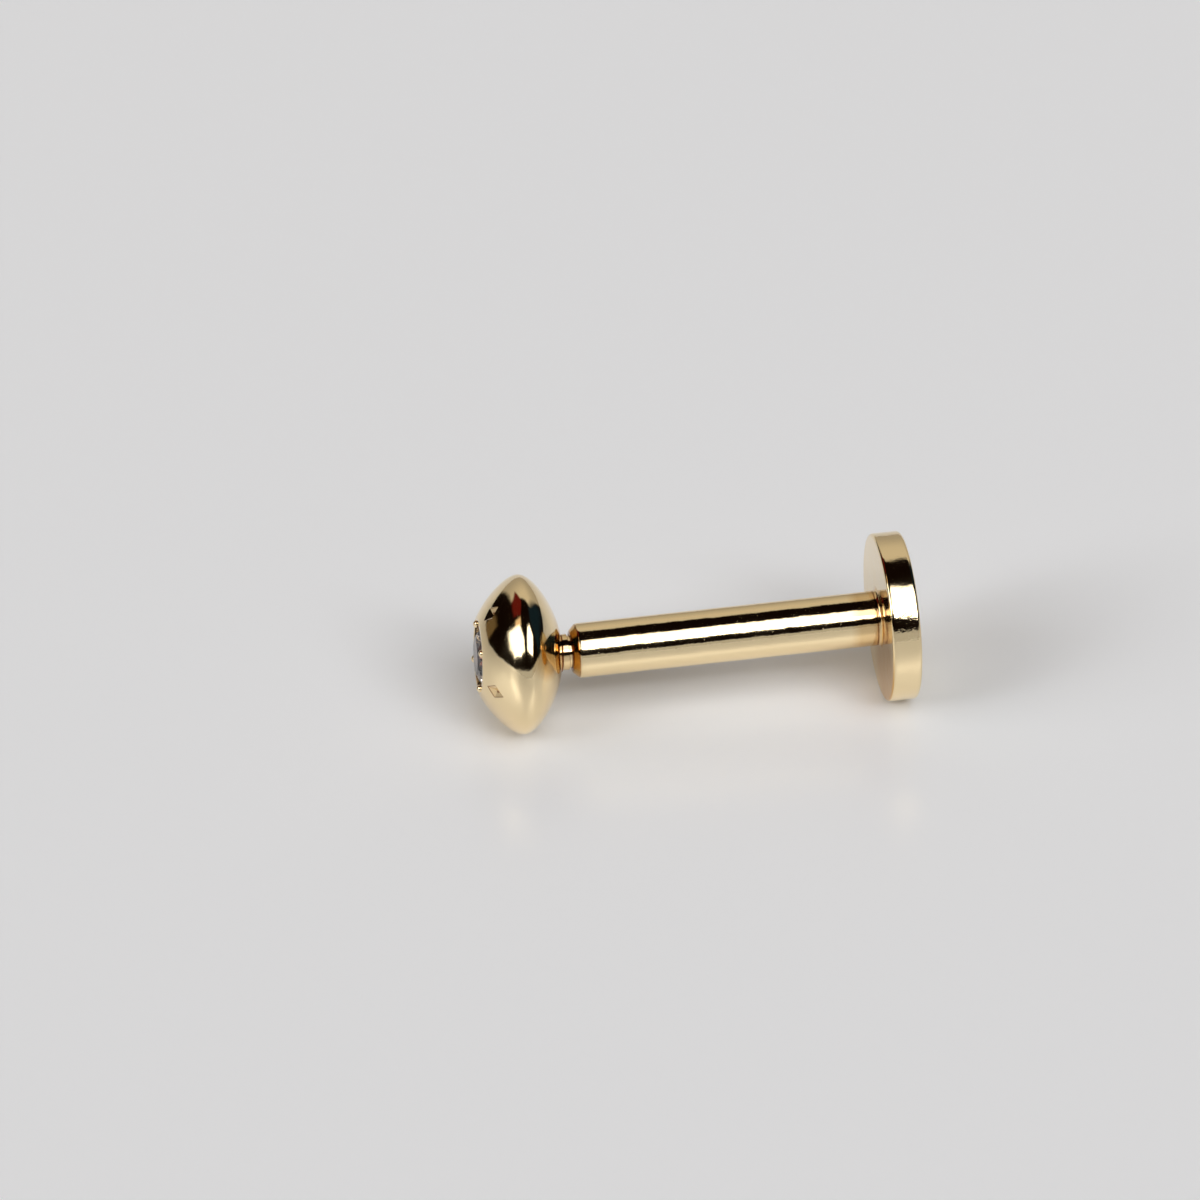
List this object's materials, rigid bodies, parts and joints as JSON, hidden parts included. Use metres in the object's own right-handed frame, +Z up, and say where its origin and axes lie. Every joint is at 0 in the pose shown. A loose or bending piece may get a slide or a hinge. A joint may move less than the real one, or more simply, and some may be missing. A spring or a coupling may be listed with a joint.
{
  "type": "labret stud",
  "caption": "Flat-back labret stud: a tube soldered to a flat disc, and a domed head with a small round stone, whose pin pushes into the tube.",
  "frame": {"origin": "on the surface that the stud lies on, below the middle of its length", "axes": "+X along the stud from its head to its disc, +Z up from the surface that it lies on"},
  "size_m": [0.0082, 0.0032, 0.0031],
  "materials": {
    "post_gold": "polished yellow gold, with fine scratches",
    "head_gold": "mirror-polished yellow gold, with an engraved star round the stone",
    "clear_stone": "clear, faceted as a round brilliant"
  },
  "bodies": {
    "post": {"post": "post_gold"},
    "top": {"head": "head_gold", "stone": "clear_stone"}
  },
  "joints": [
    {"name": "top_pull", "type": "slide", "parent": "post", "child": "top", "axis": [-0.9998, 0, -0.0183], "range_m": [0, 0.0075]}
  ]
}
